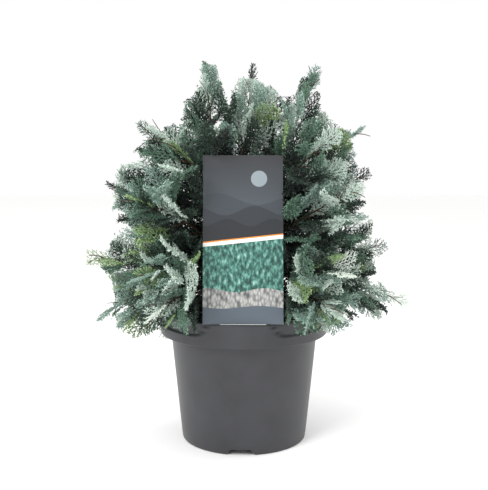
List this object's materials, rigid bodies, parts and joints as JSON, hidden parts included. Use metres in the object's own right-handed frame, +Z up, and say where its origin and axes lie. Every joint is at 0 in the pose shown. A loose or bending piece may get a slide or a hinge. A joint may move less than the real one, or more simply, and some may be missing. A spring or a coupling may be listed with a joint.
{
  "type": "potted sawara cypress",
  "caption": "Dwarf blue conifer shrub with dense feathery foliage, in a round dark plastic nursery pot with a plain upright card at its rim.",
  "frame": {"origin": "centre of the pot's underside, on the surface that the pot stands on", "axes": "+Z up, -Y towards the front of the pot where the card stands, +X to the viewer's right"},
  "size_m": [0.3528, 0.3212, 0.4245],
  "materials": {
    "pot_plastic": "satin",
    "potting_mix": "rough",
    "label_card": "gloss",
    "bark": "rough",
    "foliage": "matte"
  },
  "bodies": {
    "root": {"bough_leader_left": "bark", "bough_leader_right": "bark", "bough_low_1": "bark", "bough_low_2": "bark", "bough_low_3": "bark", "bough_low_4": "bark", "bough_low_5": "bark", "bough_low_6": "bark", "bough_middle_1": "bark", "bough_middle_2": "bark", "bough_middle_3": "bark", "bough_middle_4": "bark", "bough_middle_5": "bark", "bough_middle_6": "bark", "bough_middle_7": "bark", "bough_skirt_1": "bark", "bough_skirt_2": "bark", "bough_skirt_3": "bark", "bough_skirt_4": "bark", "bough_skirt_5": "bark", "bough_skirt_6": "bark", "bough_skirt_7": "bark", "bough_upper_1": "bark", "bough_upper_2": "bark", "bough_upper_3": "bark", "bough_upper_4": "bark", "bough_upper_5": "bark", "foliage_leader_left": "foliage", "foliage_leader_right": "foliage", "foliage_leader_top": "foliage", "foliage_low_1": "foliage", "foliage_low_2": "foliage", "foliage_low_3": "foliage", "foliage_low_4": "foliage", "foliage_low_5": "foliage", "foliage_low_6": "foliage", "foliage_middle_1": "foliage", "foliage_middle_2": "foliage", "foliage_middle_3": "foliage", "foliage_middle_4": "foliage", "foliage_middle_5": "foliage", "foliage_middle_6": "foliage", "foliage_middle_7": "foliage", "foliage_skirt_1": "foliage", "foliage_skirt_2": "foliage", "foliage_skirt_3": "foliage", "foliage_skirt_4": "foliage", "foliage_skirt_5": "foliage", "foliage_skirt_6": "foliage", "foliage_skirt_7": "foliage", "foliage_upper_1": "foliage", "foliage_upper_2": "foliage", "foliage_upper_3": "foliage", "foliage_upper_4": "foliage", "foliage_upper_5": "foliage", "label": "label_card", "pot": "pot_plastic", "soil": "potting_mix", "trunk": "bark"}
  },
  "joints": []
}
